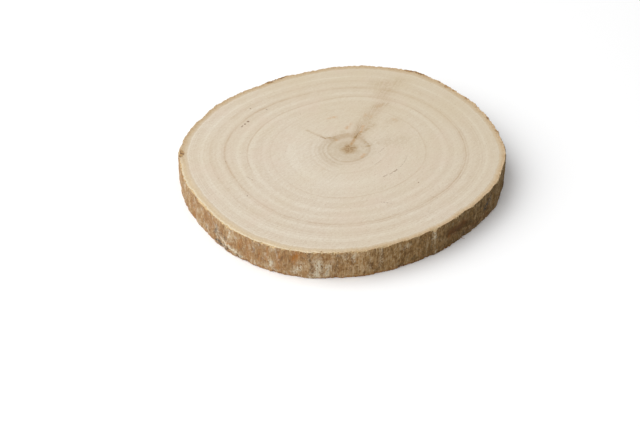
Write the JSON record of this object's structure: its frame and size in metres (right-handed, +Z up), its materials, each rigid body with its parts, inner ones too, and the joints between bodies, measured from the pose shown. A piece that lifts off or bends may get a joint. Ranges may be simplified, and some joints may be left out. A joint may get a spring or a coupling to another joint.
{
  "type": "wood slice",
  "caption": "Round slice sawn across a small trunk, with growth rings on its flat faces and the bark left on; rests flat as a coaster, trivet, stand or craft board.",
  "frame": {"origin": "under the middle of the slice, at the centre of its underside's bounding box, on the surface that it rests on", "axes": "+Z up, square to the two sawn faces; +X along the slice's longest reach; -Y towards the viewer"},
  "size_m": [0.213, 0.207, 0.02],
  "materials": {
    "sawn_wood": "pale bare sawn end grain with soft growth rings, and dry grey-brown bark round the edge"
  },
  "bodies": {
    "root": {"wood_slice": "sawn_wood"}
  },
  "joints": []
}
